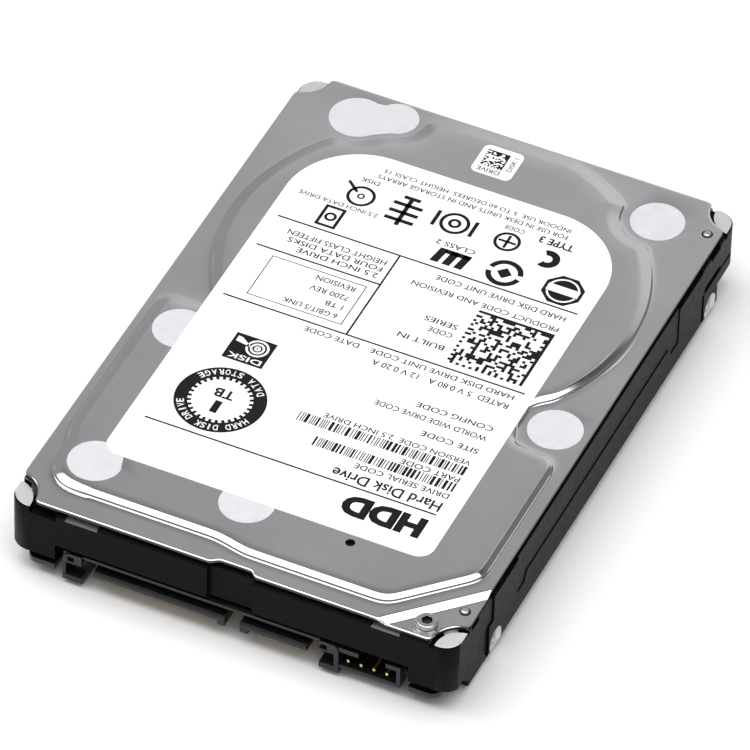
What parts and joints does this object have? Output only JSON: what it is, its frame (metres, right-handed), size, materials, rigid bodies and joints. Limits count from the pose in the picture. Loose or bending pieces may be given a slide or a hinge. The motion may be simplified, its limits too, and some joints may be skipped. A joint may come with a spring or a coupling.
{
  "type": "hard disk drive",
  "caption": "Flat 2.5-inch hard disk drive: black cast base, stepped steel cover with labels and round foil seals, circuit board with serial plug; disks and arm turn inside.",
  "frame": {"origin": "centre of the drive's footprint, on the plane that its side rails rest on", "axes": "+X across the drive, +Y along it away from the plug end, +Z out of the top cover"},
  "size_m": [0.0702, 0.1004, 0.0148],
  "materials": {
    "casting": "satin",
    "cover_steel": "satin",
    "gasket": "matte",
    "screw_steel": "satin",
    "seal_foil": "satin",
    "label": "satin",
    "filter": "matte",
    "foam": "matte",
    "board": "satin",
    "chip": "matte",
    "component": "satin",
    "plug_plastic": "satin",
    "contact_gold": "polished",
    "bearing_bronze": "satin",
    "bearing_steel": "polished",
    "core_steel": "satin",
    "copper_wire": "gloss",
    "magnet": "satin",
    "machined_aluminium": "satin",
    "disk": "polished",
    "spring_steel": "gloss",
    "slider": "gloss",
    "moulding": "satin",
    "stop_rubber": "matte",
    "flex": "gloss"
  },
  "bodies": {
    "casing": {"base_casting": "casting", "board_components": "component", "board_header": "plug_plastic", "board_screws": "screw_steel", "breather_filter": "filter", "controller_chip": "chip", "corner_screw": "screw_steel", "cover_gasket": "gasket", "cover_screws": "screw_steel", "crash_stops": "stop_rubber", "flash_chip": "chip", "flex_bracket": "plug_plastic", "flex_cable": "flex", "foam_pad": "foam", "head_ramp": "moulding", "jumper_pins": "contact_gold", "latch_pin": "screw_steel", "locating_pins": "screw_steel", "lower_magnets": "magnet", "lower_yoke": "core_steel", "main_label": "label", "memory_chip": "chip", "motor_driver_chip": "chip", "motor_end_cap": "bearing_steel", "motor_sleeve": "bearing_bronze", "pcb": "board", "pivot_shaft": "bearing_steel", "rear_seal": "seal_foil", "recirculation_filter": "filter", "sata_contacts": "contact_gold", "sata_housing": "plug_plastic", "screw_seals": "seal_foil", "serial_label": "label", "stator_coils": "copper_wire", "stator_core": "core_steel", "top_cover": "cover_steel", "upper_magnets": "magnet", "upper_yoke": "core_steel", "yoke_posts": "screw_steel"},
    "spindle": {"motor_shaft": "bearing_steel", "rotor_magnet": "magnet", "spindle_hub": "machined_aluminium", "platter_1": "disk", "platter_2": "disk", "platter_3": "disk", "platter_4": "disk", "spacer_1": "machined_aluminium", "spacer_2": "machined_aluminium", "spacer_3": "machined_aluminium", "disk_clamp": "machined_aluminium", "clamp_screws": "screw_steel"},
    "actuator": {"actuator_arms": "machined_aluminium", "head_suspensions": "spring_steel", "head_sliders": "slider", "pivot_bearings": "bearing_steel", "pivot_sleeve": "bearing_steel", "voice_coil": "copper_wire", "coil_frame": "moulding"},
    "latch": {"inertia_latch": "moulding"}
  },
  "joints": [
    {"name": "spindle_spin", "type": "hinge", "parent": "casing", "child": "spindle", "pos_m": [0, 0.0154, 0], "axis": [0, 0, 1], "continuous": true},
    {"name": "actuator_swing", "type": "hinge", "parent": "casing", "child": "actuator", "pos_m": [-0.0085, -0.0215, 0], "axis": [0, 0, 1], "range_deg": [0, 33]},
    {"name": "latch_swing", "type": "hinge", "parent": "casing", "child": "latch", "pos_m": [-0.0294, -0.0148, 0], "axis": [0, 0, 1], "range_deg": [-6, 6]}
  ]
}
